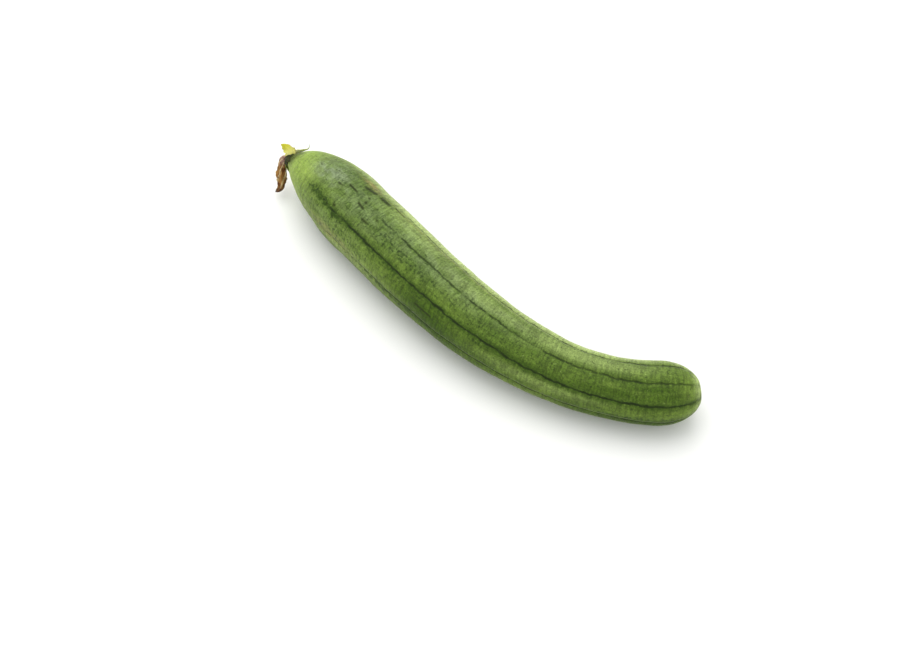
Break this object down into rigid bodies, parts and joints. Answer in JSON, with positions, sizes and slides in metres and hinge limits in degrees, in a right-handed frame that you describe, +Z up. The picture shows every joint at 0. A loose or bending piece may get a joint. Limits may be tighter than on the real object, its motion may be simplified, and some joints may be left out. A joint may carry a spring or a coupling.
{
  "type": "sponge gourd",
  "caption": "Slender, curved green gourd with fine dark lengthwise lines, a withered flower at its tip and a cut stalk at its other end, lying on its side.",
  "frame": {"origin": "on the resting surface, under the middle of the object's box", "axes": "+X along the gourd toward its stalk end, +Z up, and the inside of its bend faces +Y"},
  "size_m": [0.348, 0.0814, 0.0526],
  "materials": {
    "skin": "satin",
    "calyx": "matte",
    "withered_petals": "matte",
    "cut_stalk": "matte"
  },
  "bodies": {
    "root": {"fruit": "skin", "calyx": "calyx", "withered_corolla": "withered_petals", "stalk_stump": "cut_stalk"}
  },
  "joints": []
}
